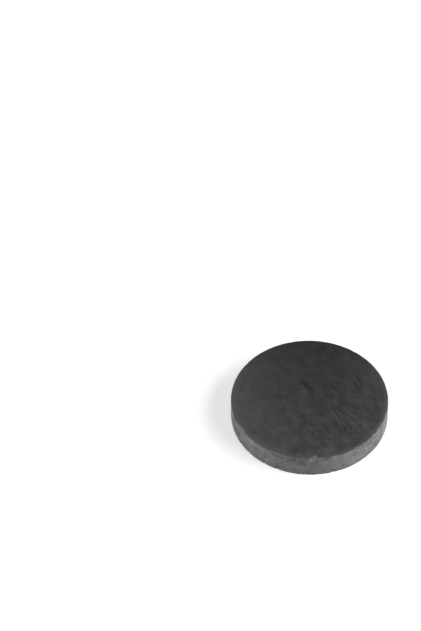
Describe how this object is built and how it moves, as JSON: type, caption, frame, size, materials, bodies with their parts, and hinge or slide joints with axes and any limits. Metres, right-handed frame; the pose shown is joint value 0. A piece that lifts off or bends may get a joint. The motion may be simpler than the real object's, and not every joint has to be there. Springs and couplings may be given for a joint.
{
  "type": "disc magnet",
  "caption": "Flat round ferrite magnet with two ground pole faces and small chips along its edges, for holding notes, catches and small steel parts on a bench or desk.",
  "frame": {"origin": "centre of the lower pole face", "axes": "+Z along the disc's axis, from the lower pole face to the upper one; +X and +Y lie in the lower pole face, with the worn and chipped side of the edge towards -Y"},
  "size_m": [0.02, 0.02, 0.003],
  "materials": {
    "ferrite": "bare sintered strontium ferrite, dark grey, ground matte on both faces, as pressed on the rim"
  },
  "bodies": {
    "root": {"ferrite_disc": "ferrite"}
  },
  "joints": []
}
